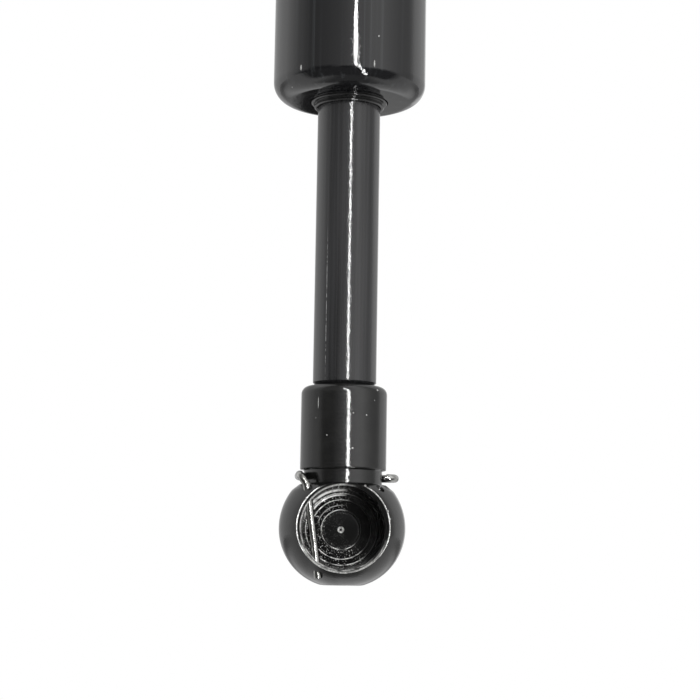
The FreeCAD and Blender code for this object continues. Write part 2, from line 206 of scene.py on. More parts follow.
def new_material(name, colour, rough, **more):
    """Material with one Principled shader and the object's own coordinates."""
    material = bpy.data.materials.new(name)
    material.use_nodes = True
    tree = material.node_tree
    shader = tree.nodes["Principled BSDF"]
    shader.inputs["Base Color"].default_value = (*colour, 1)
    shader.inputs["Roughness"].default_value = rough
    for key, value in more.items():
        shader.inputs[key.replace("_", " ")].default_value = value
    place = tree.nodes.new("ShaderNodeTexCoord")
    return material, tree, shader, place.outputs["Object"]


def combine(tree, operation, first, second=0.0):
    """Result of a maths step on one or two values."""
    step = tree.nodes.new("ShaderNodeMath")
    step.operation = operation
    for number, value in enumerate((first, second)):
        if isinstance(value, (int, float)):
            step.inputs[number].default_value = value
        else:
            tree.links.new(value, step.inputs[number])
    return step.outputs["Value"]


def all_of(tree, first, *others):
    """Product of masks: only where all of them are."""
    for other in others:
        first = combine(tree, "MULTIPLY", first, other)
    return first


def any_of(tree, first, *others):
    """Strongest of masks: where any of them is."""
    for other in others:
        first = combine(tree, "MAXIMUM", first, other)
    return first


def share_of(tree, value, start, end):
    """How far a value has come from a start to an end, as a share."""
    return combine(tree, "DIVIDE", combine(tree, "SUBTRACT", value, start), end - start)


def ramp(tree, value, stops):
    """Value read off a curve of (position, value) stops."""
    mixer = tree.nodes.new("ShaderNodeValToRGB")
    band = mixer.color_ramp
    while len(band.elements) < len(stops):
        band.elements.new(0.5)
    for element, (position, level) in zip(band.elements, stops):
        element.position = position
        element.color = (level, level, level, 1)
    tree.links.new(value, mixer.inputs["Fac"])
    return mixer.outputs["Color"]


def blend(tree, factor, low, high):
    """Colour between two colours by a factor."""
    mix = tree.nodes.new("ShaderNodeMix")
    mix.data_type = "RGBA"
    for name, value in (("A", low), ("B", high)):
        if isinstance(value, tuple):
            mix.inputs[name].default_value = (*value, 1)
        else:
            tree.links.new(value, mix.inputs[name])
    tree.links.new(factor, mix.inputs["Factor"])
    return mix.outputs["Result"]


def axes(tree, vector):
    """X, Y and Z of a place or a direction."""
    split = tree.nodes.new("ShaderNodeSeparateXYZ")
    tree.links.new(vector, split.inputs["Vector"])
    return split.outputs["X"], split.outputs["Y"], split.outputs["Z"]


def vector_step(tree, operation, vector):
    """Node that does a maths step on a vector."""
    step = tree.nodes.new("ShaderNodeVectorMath")
    step.operation = operation
    tree.links.new(vector, step.inputs[0])
    return step


def mapped(tree, place, scale, shift=(0, 0, 0)):
    """Place stretched along its axes and then shifted."""
    mapping = tree.nodes.new("ShaderNodeMapping")
    mapping.inputs["Scale"].default_value = scale
    mapping.inputs["Location"].default_value = shift
    tree.links.new(place, mapping.inputs["Vector"])
    return mapping.outputs["Vector"]


def noise(tree, place, scale, detail=2.0, stretch=None):
    """Noise with so many lumps to a metre, stretched where a stretch is given."""
    lumps = tree.nodes.new("ShaderNodeTexNoise")
    lumps.inputs["Scale"].default_value = scale
    lumps.inputs["Detail"].default_value = detail
    tree.links.new(mapped(tree, place, stretch) if stretch else place, lumps.inputs["Vector"])
    return lumps.outputs["Fac"]


def bump(tree, shader, height, distance, strength=None, under=None):
    """Bump from a height value, over another bump if one is given, at a strength that may vary."""
    made = tree.nodes.new("ShaderNodeBump")
    made.inputs["Strength"].default_value = 1.0
    made.inputs["Distance"].default_value = distance
    if strength:
        tree.links.new(strength, made.inputs["Strength"])
    tree.links.new(height, made.inputs["Height"])
    if under:
        tree.links.new(under, made.inputs["Normal"])
    tree.links.new(made.outputs["Normal"], shader.inputs["Normal"])
    return made.outputs["Normal"]


def dust(tree, place, scale, reach, share):
    """Mask of scattered specks: one to a cell, and only in a share of the cells."""
    soft = 0.02
    cells = tree.nodes.new("ShaderNodeTexVoronoi")
    cells.inputs["Scale"].default_value = scale
    tree.links.new(place, cells.inputs["Vector"])
    spot = ramp(tree, cells.outputs["Distance"], [(0.0, 1.0), (reach * 0.5, 1.0), (reach, 0.0)])
    stops = [(0.0, 0.0), (1 - share - soft, 0.0), (1 - share + soft, 1.0)]
    return all_of(tree, spot, ramp(tree, cells.outputs["Color"], stops))


def marks(tree, place, spots):
    """Mask of single small marks, each given by its centre and half sizes in millimetres."""
    made = []
    for centre, half in spots:
        scale = [1 / (size * MM) for size in half]
        shift = [-at / size for at, size in zip(centre, half)]
        from_centre = vector_step(tree, "LENGTH", mapped(tree, place, scale, shift))
        made.append(ramp(tree, from_centre.outputs["Value"], [(0.0, 1.0), (0.6, 0.9), (1.0, 0.0)]))
    return any_of(tree, *made)


def lacquer_black():
    """Gloss black lacquer on the drawn tube: lengthwise waves and streaks, orange peel that fades on the
    rolled edge and up the tube, dust and a few scratches."""
    material, tree, shader, place = new_material("gloss_black_lacquer", (0.006, 0.006, 0.0065), 0.06)
    waves = noise(tree, place, 700, detail=3, stretch=(1, 1, 0.03))
    peel = noise(tree, place, 4600)
    height = share_of(tree, axes(tree, place)[2], -112 * MM, -92 * MM)
    grain = ramp(tree, height, [
        (0.0, 0.3), (0.08, 0.3), (0.1, 0.5), (0.19, 0.9), (0.29, 1.0), (0.42, 0.6), (0.6, 0.35), (1.0, 0.4),
    ])
    under = bump(tree, shader, waves, 0.01 * MM)
    bump(tree, shader, peel, 0.013 * MM, strength=grain, under=under)
    streaks = noise(tree, place, 1900, stretch=(1, 1, 0.008))
    streaks = ramp(tree, streaks, [(0.52, 0.0), (0.6, 0.25), (0.72, 1.0)])
    colour = blend(tree, streaks, (0.005, 0.005, 0.0055), (0.016, 0.017, 0.018))
    speck_grey = (0.32, 0.32, 0.31)
    specks = dust(tree, place, scale=420, reach=0.05, share=0.12)
    scratches = marks(tree, place, [
        ((-6.31, -7.43, -108.1), (0.13, 0.3, 0.42)),
        ((2.77, -9.35, -107.9), (0.1, 0.3, 0.5)),
        ((3.28, -9.18, -104.33), (0.12, 0.3, 0.12)),
        ((-1.91, -9.56, -109.56), (0.15, 0.4, 0.15)),
    ])
    light = any_of(tree, specks, scratches)
    tree.links.new(blend(tree, light, colour, speck_grey), shader.inputs["Base Color"])
    smudge = noise(tree, place, 260, detail=3)
    tree.links.new(ramp(tree, smudge, [(0.35, 0.03), (0.7, 0.06)]), shader.inputs["Roughness"])
    return material


def nitrided_black():
    """Satin black of a salt-bath nitrided rod, polished lengthwise, with fine drawn lines, light specks
    and one long scratch."""
    material, tree, shader, place = new_material("nitrided_rod_black", (0.018, 0.018, 0.0185), 0.17)
    fine = noise(tree, place, 3800, detail=3, stretch=(1, 1, 0.03))
    grit = noise(tree, place, 4800, detail=1)
    under = bump(tree, shader, fine, 0.002 * MM)
    bump(tree, shader, grit, 0.014 * MM, under=under)
    streaks = ramp(tree, noise(tree, place, 2300, stretch=(1, 1, 0.015)), [(0.35, 0.0), (0.72, 1.0)])
    colour = blend(tree, streaks, (0.009, 0.009, 0.0095), (0.02, 0.02, 0.021))
    speck_grey = (0.3, 0.3, 0.3)
    specks = dust(tree, place, scale=640, reach=0.07, share=0.16)
    beads = ramp(tree, noise(tree, place, 3400), [(0.44, 0.0), (0.54, 1.0)])
    scratch = all_of(tree, beads, marks(tree, place, [((-2.52, -3.1, -137.3), (0.035, 0.5, 10.5))]))
    light = any_of(tree, specks, scratch)
    tree.links.new(blend(tree, light, colour, speck_grey), shader.inputs["Base Color"])
    tree.links.new(ramp(tree, grit, [(0.35, 0.07), (0.7, 0.12)]), shader.inputs["Roughness"])
    return material


def socket_black():
    """Semi-gloss black finish of the turned ball socket, with grit and light specks, and duller on one
    side:
    its specular level goes up and down across X as painted shade.
    """
    material, tree, shader, place = new_material("socket_black_finish", (0.01, 0.01, 0.01), 0.2)
    turning = noise(tree, place, 2600, stretch=(0.12, 0.12, 1))
    grit = noise(tree, place, 4600)
    under = bump(tree, shader, turning, 0.005 * MM)
    bump(tree, shader, grit, 0.013 * MM, under=under)
    cloud = ramp(tree, noise(tree, place, 600, detail=3), [(0.3, 0.0), (0.7, 1.0)])
    colour = blend(tree, cloud, (0.004, 0.004, 0.004), (0.008, 0.008, 0.0075))
    speck_grey = (0.4, 0.4, 0.39)
    specks = dust(tree, place, scale=760, reach=0.07, share=0.2)
    dots = marks(tree, place, [
        ((-3.32, -4.25, -149.7), (0.045, 0.3, 0.8)),
        ((-2.21, -4.92, -153.74), (0.09, 0.3, 0.09)),
        ((0.96, -5.31, -155.31), (0.12, 0.3, 0.12)),
        ((2.64, -4.71, -151.16), (0.1, 0.3, 0.1)),
        ((4.03, -3.6, -147.92), (0.14, 0.3, 0.14)),
        ((2.62, -5.35, -159.88), (0.2, 0.5, 0.2)),
        ((5.42, -5.35, -162.95), (0.12, 0.5, 0.16)),
        ((5.72, -5.3, -163.9), (0.08, 0.5, 0.14)),
    ])
    light = any_of(tree, specks, dots)
    tree.links.new(blend(tree, light, colour, speck_grey), shader.inputs["Base Color"])
    tree.links.new(ramp(tree, grit, [(0.3, 0.06), (0.7, 0.11)]), shader.inputs["Roughness"])
    # Painted shade: the specular level steps across X so that the socket comes out lighter and darker in
    # stripes
    across = share_of(tree, axes(tree, place)[0], -8 * MM, 8 * MM)
    painted_shade_gloss = ramp(tree, across, [
        (0.0, 0.35), (0.23, 0.35), (0.31, 0.6), (0.39, 0.4), (0.44, 0.4), (0.49, 0.6), (0.63, 0.55),
        (0.73, 0.42), (1.0, 0.42),
    ])
    tree.links.new(painted_shade_gloss, shader.inputs["Specular IOR Level"])
    return material


def about_cavity(tree, place, ball, way):
    """Distance from a cavity's axis in metres and in centimetres, and the direction across the axis."""
    across = mapped(tree, place, (way, 0, way), (0, 0, -way * ball))
    far_out = vector_step(tree, "LENGTH", across).outputs["Value"]
    direction = vector_step(tree, "NORMALIZE", across).outputs["Vector"]
    return far_out, combine(tree, "DIVIDE", far_out, CM), direction


def turned_rings(tree, far_out, direction, spacing, arcs):
    """Noise drawn out into rings a spacing apart round the cavity's axis, with some arcs to a radian."""
    stretch = vector_step(tree, "SCALE", direction)
    stretch.inputs["Scale"].default_value = arcs
    lift = tree.nodes.new("ShaderNodeCombineXYZ")
    tree.links.new(combine(tree, "DIVIDE", far_out, spacing), lift.inputs["Y"])
    place = vector_step(tree, "ADD", stretch.outputs["Vector"])
    tree.links.new(lift.outputs["Vector"], place.inputs[1])
    return noise(tree, place.outputs["Vector"], 1.0)


def lit_side(tree, direction):
    """Mask of the side of a cavity where the light falls, away from +X, that keeps the painted highlight.
    """
    x, _, z = axes(tree, direction)
    toward = combine(tree, "ADD", combine(tree, "MULTIPLY", z, 0.25), x)
    return ramp(tree, share_of(tree, toward, -1.0, 1.0), [(0.6, 1.0), (0.8, 0.0)])


def cavity_black(name, ball, way):
    """Black finish over the rings that the turning tool left in a ball cavity, with painted sparkle along
    its chatter rings on the lit side, and painted highlight arcs on its steps at its upper side. Its ramps
    go by the distance from the axis in centimetres."""
    material, tree, shader, place = new_material(name, (0.004, 0.004, 0.004), 0.1, Specular_IOR_Level=0.3)
    far_out, far_cm, direction = about_cavity(tree, place, ball, way)
    rings = turned_rings(tree, far_out, direction, spacing=0.11 * MM, arcs=2.2)
    grit = noise(tree, place, 4500)
    walls = ramp(tree, far_cm, [(0.2, 0.12), (0.24, 1.0)])
    under = bump(tree, shader, rings, 0.012 * MM, strength=walls)
    under = bump(tree, shader, grit, 0.006 * MM, strength=walls, under=under)
    chatter = turned_rings(tree, far_out, direction, spacing=0.2 * MM, arcs=22.0)
    chatter = ramp(tree, chatter, [(0.6, 0.0), (0.7, 1.0)])
    by_distance = ramp(tree, far_cm, [(0.06, 0.35), (0.1, 0.1), (0.2, 0.1), (0.25, 1.0)])
    painted_glints = all_of(tree, chatter, lit_side(tree, direction), by_distance)
    upper = vector_step(tree, "DOT_PRODUCT", direction)
    upper.inputs[1].default_value = (-0.57, 0, 0.82)
    upper_side = ramp(tree, upper.outputs["Value"], [(0.72, 0.0), (0.9, 1.0)])
    painted_highlight_bands = ramp(tree, far_cm, [
        (0.3, 0.0), (0.306, 0.6), (0.314, 0.0), (0.42, 0.0), (0.426, 1.0), (0.436, 1.0), (0.444, 0.0),
        (0.474, 0.0), (0.48, 1.0), (0.5, 1.0), (0.506, 0.0),
    ])
    patchy = turned_rings(tree, far_out, direction, spacing=0.3 * MM, arcs=6.0)
    patchy = ramp(tree, patchy, [(0.3, 0.2), (0.45, 1.0)])
    steps = ramp(tree, far_cm, [
        (0.3, 0.0), (0.302, 0.25), (0.314, 0.0), (0.418, 0.0), (0.42, 0.6), (0.444, 0.0), (0.472, 0.0),
        (0.474, 1.0), (0.506, 0.0),
    ])
    bump(tree, shader, all_of(tree, steps, upper_side), 0.45 * MM, under=under)
    # Painted highlight: sparkle and arcs turn the base colour light grey where the light falls
    bright = any_of(tree, all_of(tree, painted_glints, 0.65), all_of(tree, painted_highlight_bands, upper_side, patchy))
    tree.links.new(blend(tree, bright, CAVITY_DARK, (0.92, 0.92, 0.9)), shader.inputs["Base Color"])
    tree.links.new(ramp(tree, far_cm, [(0.2, 0.05), (0.24, 0.1)]), shader.inputs["Roughness"])
    return material


def worn_and_lit_edge(name, ball, way):
    """Bare steel where the finish has worn off the cavity's rim, its ridges and its centre mark, with
    painted
    highlight: kept to the lit side inside, and fullest on the rim's lower side, the upper side and the
    centre.
    """
    material, tree, shader, place = new_material(name, (0.6, 0.6, 0.58), 0.4)
    _, far_cm, direction = about_cavity(tree, place, ball, way)
    x, _, z = axes(tree, direction)
    inside = all_of(tree, lit_side(tree, direction), ramp(tree, far_cm, [(0.53, 1.0), (0.535, 0.0)]))
    # Painted highlight on the rim's lower side, the upper side and the centre mark
    low_side = ramp(tree, combine(tree, "MULTIPLY", z, -1.0), [(0.25, 0.0), (0.5, 1.0)])
    low_rim = all_of(tree, low_side, ramp(tree, far_cm, [(0.536, 0.0), (0.542, 1.0)]))
    at_rim = any_of(tree, low_rim, ramp(tree, far_cm, [(0.56, 0.0), (0.564, 1.0)]))
    centre = ramp(tree, far_cm, [(0.05, 1.0), (0.06, 0.0)])
    upper_side = ramp(tree, combine(tree, "SUBTRACT", z, x), [(0.8, 0.0), (1.2, 0.9)])
    patches = ramp(tree, noise(tree, place, 900, detail=3), [(0.4, 0.05), (0.54, 1.0)])
    patches = any_of(tree, patches, all_of(tree, at_rim, 0.6), centre, upper_side)
    nicks = ramp(tree, noise(tree, place, 5200), [(0.35, 0.3), (0.6, 1.0)])
    # Light grey steel where worn, and painted highlight where lit
    wear_and_highlight = all_of(tree, any_of(tree, inside, at_rim, centre), all_of(tree, patches, nicks))
    tree.links.new(blend(tree, wear_and_highlight, CAVITY_DARK, (0.85, 0.85, 0.83)), shader.inputs["Base Color"])
    tree.links.new(ramp(tree, wear_and_highlight, [(0.0, 0.0), (1.0, 0.3)]), shader.inputs["Metallic"])
    bump(tree, shader, nicks, 0.008 * MM)
    return material


def spring_wire():
    """Bright drawn spring wire, with fine lines and dull patches."""
    material, tree, shader, place = new_material("bright_spring_wire", (0.6, 0.6, 0.58), 0.2, Metallic=1.0)
    fine = noise(tree, place, 5200, detail=3, stretch=(1, 1, 0.15))
    bump(tree, shader, fine, 0.012 * MM)
    dull = ramp(tree, noise(tree, place, 900, detail=3), [(0.3, 0.0), (0.75, 1.0)])
    tree.links.new(blend(tree, dull, (0.38, 0.38, 0.37), (0.13, 0.13, 0.12)), shader.inputs["Base Color"])
    tree.links.new(ramp(tree, dull, [(0.0, 0.12), (1.0, 0.26)]), shader.inputs["Roughness"])
    return material


def wiper_plastic():
    """Smooth black plastic of the dust wiper, lightly scuffed."""
    material, tree, shader, place = new_material("wiper_black_plastic", (0.012, 0.012, 0.012), 0.2)
    scuff = noise(tree, place, 2600, detail=3)
    bump(tree, shader, scuff, 0.01 * MM)
    colour = blend(tree, scuff, (0.008, 0.008, 0.008), (0.018, 0.018, 0.018))
    tree.links.new(colour, shader.inputs["Base Color"])
    tree.links.new(ramp(tree, scuff, [(0.3, 0.07), (0.7, 0.14)]), shader.inputs["Roughness"])
    return material


def turned_metal(name, dark, light, rough):
    """Bare turned metal: fine tool lines round the strut's axis, and faint stains."""
    material, tree, shader, place = new_material(name, light, rough, Metallic=1.0)
    lines = noise(tree, place, 5200, detail=3, stretch=(0.08, 0.08, 1))
    grit = noise(tree, place, 3600)
    under = bump(tree, shader, lines, 0.012 * MM)
    bump(tree, shader, grit, 0.005 * MM, under=under)
    stain = ramp(tree, noise(tree, place, 420, detail=4), [(0.3, 0.0), (0.72, 1.0)])
    tree.links.new(blend(tree, stain, light, dark), shader.inputs["Base Color"])
    tree.links.new(ramp(tree, lines, [(0.3, rough - 0.07), (0.7, rough + 0.1)]), shader.inputs["Roughness"])
    return material


def moulded(name, dark, light, rough, grain):
    """Moulded rubber or plastic: fine grain and a slightly uneven colour."""
    material, tree, shader, place = new_material(name, light, rough)
    skin = noise(tree, place, grain, detail=3)
    bump(tree, shader, skin, 0.014 * MM)
    cloud = noise(tree, place, grain / 5, detail=3)
    tree.links.new(blend(tree, cloud, dark, light), shader.inputs["Base Color"])
    tree.links.new(ramp(tree, skin, [(0.3, rough - 0.08), (0.7, rough + 0.08)]), shader.inputs["Roughness"])
    return material


LACQUER = lacquer_black()
ROD_BLACK = nitrided_black()
SOCKET_BLACK = socket_black()
ROD_CAVITY = cavity_black("rod_cavity_black", rod_ball, 1)
TUBE_CAVITY = cavity_black("tube_cavity_black", 0, -1)
# Worn steel with painted highlight on the cavities' rims, ridges and centre marks
ROD_WORN_AND_LIT = worn_and_lit_edge("rod_cavity_worn_and_lit_edge", rod_ball, 1)
TUBE_WORN_AND_LIT = worn_and_lit_edge("tube_cavity_worn_and_lit_edge", 0, -1)
WIRE = spring_wire()
WIPER = wiper_plastic()
STEEL = turned_metal("turned_steel", (0.3, 0.29, 0.28), (0.5, 0.5, 0.5), 0.3)
ALLOY = turned_metal("die_cast_alloy", (0.42, 0.43, 0.44), (0.62, 0.63, 0.64), 0.4)
BRONZE = turned_metal("bush_bronze", (0.3, 0.17, 0.08), (0.56, 0.36, 0.18), 0.34)
RUBBER = moulded("nitrile_rubber", (0.009, 0.009, 0.009), (0.022, 0.022, 0.021), 0.45, 3200)
RING_PLASTIC = moulded("piston_ring_plastic", (0.07, 0.062, 0.055), (0.12, 0.108, 0.095), 0.42, 2400)


def make_tube():
    """Tube with both edges rolled in and the rolled bead that holds the seal."""
    bottom, top = tube_low.z, tube_high.z
    middle = tube_radius - roll_radius
    inner_roll = roll_radius - tube_wall
    half = bead_height / 2
    bead_radius = (half ** 2 + bead_depth ** 2) / (2 * bead_depth)
    swing = math.degrees(math.asin(half / bead_radius))
    bead_out = (tube_radius - bead_depth + bead_radius, bead_middle)
    bead_in = (tube_bore - bead_depth + bead_radius, bead_middle)
    low = (middle, bottom + roll_radius)
    high = (middle, top - roll_radius)
    outline = [
        (tube_mouth, bottom),
        *arc(low, roll_radius, -90, 0, 24),
        *arc(bead_out, bead_radius, 180 + swing, 180 - swing, 10),
        *arc(high, roll_radius, 0, 90, 24),
        (tube_mouth, top),
        (tube_mouth, top - tube_wall),
        *arc(high, inner_roll, 90, 0, 10),
        *arc(bead_in, bead_radius, 180 - swing, 180 + swing, 10),
        *arc(low, inner_roll, 0, -90, 10),
        (tube_mouth, bottom + tube_wall),
        (tube_mouth, bottom),
    ]
    piece = turned("tube_shell", outline, LACQUER)
    finish_piece(piece, "cylinder", "cylinder_tube")


def make_rod():
    """Rod with a chamfered shoulder, its spigot for the socket, and a riveted tenon inside the tube."""
    shoulder = -147.25 * MM
    piston_seat = -95.35 * MM
    rivet_base = -86.25 * MM
    tenon = 2.5 * MM
    rivet = 3.5 * MM
    rivet_height = 1.2 * MM
    root = spigot_radius - undercut_depth
    end = shoulder - spigot_length
    dome_radius = (rivet ** 2 + rivet_height ** 2) / (2 * rivet_height)
    dome_angle = math.degrees(math.acos(rivet / dome_radius))
    outline = [
        (0, end),
        (spigot_radius - spigot_chamfer, end),
        (spigot_radius, end + spigot_chamfer),
        (spigot_radius, shoulder - undercut_length - undercut_depth),
        (root, shoulder - undercut_length),
        (root, shoulder),
        (rod_radius - rod_chamfer, shoulder),
        (rod_radius, shoulder + rod_chamfer),
        (rod_radius, piston_seat),
        (tenon, piston_seat),
        (tenon, rivet_base),
        (rivet, rivet_base),
        *arc((0, rod_top - dome_radius), dome_radius, dome_angle, 90, 10)[1:],
    ]
    piece = turned("piston_rod_bar", outline, ROD_BLACK)
    finish_piece(piece, "rod", "piston_rod")


def make_wiper():
    """Dust wiper: a ring that fills the tube's mouth, a groove, and the lip round the rod."""
    bore = rod_radius + clearance
    flange = 6.5 * MM
    ring = 4.85 * MM
    groove = 4.3 * MM
    lip = 4.45 * MM
    tube_face = tube_low.z
    ring_face = tube_face - 0.2 * MM
    lip_face = tube_face - 0.5 * MM
    ring_round = 0.12 * MM
    groove_corner = 0.03 * MM
    lip_top_round = 0.08 * MM
    lip_low_round = 0.13 * MM
    bore_edge = 0.08 * MM
    outline = [
        (bore, wiper_high.z),
        (flange, wiper_high.z),
        (flange, tube_face + tube_wall),
        (ring, tube_face + tube_wall),
        *arc((ring - ring_round, ring_face + ring_round), ring_round, 0, -90, 6),
        (groove + groove_corner, ring_face),
        (groove, ring_face - groove_corner),
        (groove, lip_face + groove_corner),
        (groove + groove_corner, lip_face),
        *arc((lip - lip_top_round, lip_face - lip_top_round), lip_top_round, 90, 0, 4),
        *arc((lip - lip_low_round, wiper_low.z + lip_low_round), lip_low_round, 0, -90, 6),
        (bore + bore_edge, wiper_low.z),
        (bore, wiper_low.z + bore_edge),
        (bore, wiper_high.z),
    ]
    piece = turned("dust_wiper", outline, WIPER)
    finish_piece(piece, "cylinder", "wiper_ring")


def make_end_plug():
    """End plug with its O-ring's groove, its boss through the tube's mouth, and its stud."""
    low, top = plug_low.z, tube_high.z
    recess_depth = 2.5 * MM
    recess_floor = 3.25 * MM
    recess_mouth = 4.5 * MM
    side = tube_bore - clearance
    side_edge = 0.2 * MM
    corner = (tube_radius - roll_radius, top - roll_radius)
    groove_floor = 7.1 * MM
    groove_middle = (corner[1] + low) / 2
    groove_half = 1.15 * MM
    boss = tube_mouth - clearance
    boss_edge = 0.15 * MM
    seat = plug_high.z - spigot_length
    root = spigot_radius - undercut_depth
    outline = [
        (0, low + recess_depth),
        (recess_floor, low + recess_depth),
        (recess_mouth, low),
        (side - side_edge, low),
        (side, low + side_edge),
        (side, groove_middle - groove_half),
        (groove_floor, groove_middle - groove_half),
        (groove_floor, groove_middle + groove_half),
        (side, groove_middle + groove_half),
        *arc(corner, roll_radius - tube_wall - clearance, 0, 90, 10),
        (boss, top - tube_wall - clearance),
        (boss, seat - boss_edge),
        (boss - boss_edge, seat),
        (root, seat),
        (root, seat + undercut_length),
        (spigot_radius, seat + undercut_length + undercut_depth),
        (spigot_radius, plug_high.z - spigot_chamfer),
        (spigot_radius - spigot_chamfer, plug_high.z),
        (0, plug_high.z),
    ]
    piece = turned("end_plug_turned", outline, STEEL)
    finish_piece(piece, "cylinder", "end_plug")


def socket_outline():
    """Half outline of the socket about its ball centre, shank up. A ring of points near each end of the
    shank keeps its smooth shading straight."""
    edge = 0.12 * MM
    chin_edge = 0.3 * MM
    chin_break = 1.5          # degrees that the head's arc stops short of its chin
    top_break = 1.0           # degrees that it stops short of its upper edge
    head_edge_low = 0.08 * MM
    shank_edge = 0.15 * MM
    ring_gap = 0.1 * MM
    hole_edge = 0.5 * MM
    thread_run_out = 1.1 * MM
    drill_angle = math.radians(59)
    head_top = neck_start - head_edge_drop
    top_angle = math.degrees(math.asin(head_top / head_radius))
    top_radius = head_radius * math.cos(math.radians(top_angle))
    chin_angle = math.degrees(math.asin(chin_drop / chin_radius))
    chin_flat = chin_offset + chin_radius * math.cos(math.radians(chin_angle))
    hole = spigot_radius + clearance
    hole_end = socket_length - spigot_length - thread_run_out
    return [
        (0, -chin_drop),
        (chin_flat - chin_edge, -chin_drop),
        *arc((chin_offset, 0), chin_radius, -chin_angle + chin_break, 0, 40),
        *arc((0, 0), head_radius, 0, top_angle - top_break, 24)[1:],
        (top_radius - edge, head_top + edge),
        (top_radius - head_edge_run + edge, neck_start - head_edge_low),
        (top_radius - head_edge_run, neck_start),
        (neck_radius + edge, neck_start),
        (neck_radius, neck_start + edge),
        (neck_radius, neck_end - edge),
        (neck_radius + edge, neck_end),
        (shank_radius - shank_edge, neck_end),
        *arc((shank_radius - shank_edge, neck_end + shank_edge), shank_edge, -90, 0, 6)[1:],
        (shank_radius, neck_end + shank_edge + ring_gap),
        (shank_radius, socket_length - shank_round - ring_gap),
        *arc((shank_radius - shank_round, socket_length - shank_round), shank_round, 0, 90, 16),
        (hole + hole_edge, socket_length),
        (hole, socket_length - hole_edge),
        (hole, hole_end),
        (0, hole_end - hole / math.tan(drill_angle)),
    ]


def cavity_outline():
    """Half outline of the ball cavity along its own axis, from outside the head to the centre pip, with
    the fine ridges that the turning tool left where two of the cavity's cones meet."""
    spare = 0.6 * MM
    rim = mouth_radius + rim_worn_lit_out
    rim_depth = -math.sqrt(head_radius ** 2 - rim ** 2)
    wall_end = 1.2 * MM
    floor_edge = 0.15 * MM
    outline = [
        (0, -head_radius - MM),
        (rim + spare, -head_radius - MM),
        (rim + spare, rim_depth - spare),
        (rim, rim_depth),
        *small_steps(mouth_radius, rim_depth, ((-0.05, 0.01), (-0.08, 0.07))),
        *small_steps(seat_radius, chamfer_end, ((0.24, -0.42), (0.12, -0.2), (0.03, 0.0), (0.0, 0.2))),
        (seat_radius, wall_end),
    ]
    ridge = ((1.6, -1.1), (1.0, -1.5), (0.3, -1.3), (0.0, -0.6), (0.0, 1.0))
    for radius in cavity_rings:
        outline += small_steps(radius, math.sqrt(seat_radius ** 2 - radius ** 2), ridge, ridge_size)
    return outline + [
        (cavity_rings[-1], seat_radius - floor_edge),
        (cavity_rings[-1] - floor_edge, seat_radius),
        *small_steps(0, seat_radius, ((0.42, 0.0), (0.36, -0.05), (0.26, -0.02), (0.18, 0.12), (0.0, 0.2))),
    ]


def is_worn_and_lit(middle):
    """True for a face of the cavity's tool that cuts its rim, its seat's edge, a ridge or its centre, which
    gets the worn steel with painted highlight.
    """
    rim_above, rings_below, centre_below = -5.2 * MM, 2.0 * MM, 5.0 * MM
    far_out = math.hypot(middle.x, middle.y)
    at_rim = middle.z < rim_above and -rim_worn_lit_in < far_out - mouth_radius < rim_worn_lit_out
    at_seat = -0.9 * MM < middle.z - chamfer_end < 0.2 * MM
    near_ring = any(-0.01 * MM < far_out - radius < 0.125 * MM for radius in cavity_rings)
    on_ridge = middle.z > rings_below and near_ring
    at_centre = middle.z > centre_below and 0.2 * MM < far_out < 0.42 * MM
    return at_rim or at_seat or on_ridge or at_centre


def leg_point(height):
    """Point on the clip's leg axis at a height above the ball centre."""
    return Vector((-leg_across - height * math.tan(leg_tilt), -leg_forward, height))


def wire_hole(start, end):
    """Round bar between two points, to cut a hole for the wire."""
    along = end - start
    bpy.ops.object.select_all(action="DESELECT")
    bpy.ops.mesh.primitive_cylinder_add(
        vertices=WIRE_AROUND, radius=wire_radius + clearance, depth=along.length,
        location=(start + end) / 2, rotation=along.to_track_quat("Z", "Y").to_euler())
    bar = bpy.context.object
    settle(bar)
    return bar


def make_socket(name, turn, cavity_finish, worn_and_lit_finish, body, node):
    """Ball socket: turned blank, stepped cavity, the hole for the clip's leg and a short spare hole."""
    piece = turned(name, socket_outline(), SOCKET_BLACK, SOCKET_AROUND)
    tool = turned("cavity_tool", cavity_outline(), cavity_finish, SOCKET_AROUND)
    tool.data.materials.append(worn_and_lit_finish)
    for face in tool.data.polygons:
        if is_worn_and_lit(face.center):
            face.material_index = 1
    tool.rotation_euler = (math.radians(-90), 0, 0)
    settle(tool)
    cut(piece, tool)
    hole_top = leg_point(neck_start + MM)
    cut(piece, wire_hole(leg_point(-head_radius), hole_top))
    spare_depth = 3.2 * MM
    mirrored = Vector((-1, 1, 1))
    cut(piece, wire_hole(hole_top * mirrored, leg_point(neck_start - spare_depth) * mirrored))
    piece.matrix_world = turn
    settle(piece)
    finish_piece(piece, body, node, sharp=25)


def bend_of(before, corner, after, radius):
    """Start, centre, axis and angle of the bend that rounds a corner of the wire."""
    way_in = (before - corner).normalized()
    way_out = (after - corner).normalized()
    half = way_in.angle(way_out) / 2
    centre = corner + (way_in + way_out).normalized() * (radius / math.sin(half))
    axis = way_out.cross(way_in).normalized()
    return corner + way_in * (radius / math.tan(half)), centre, axis, math.pi - 2 * half


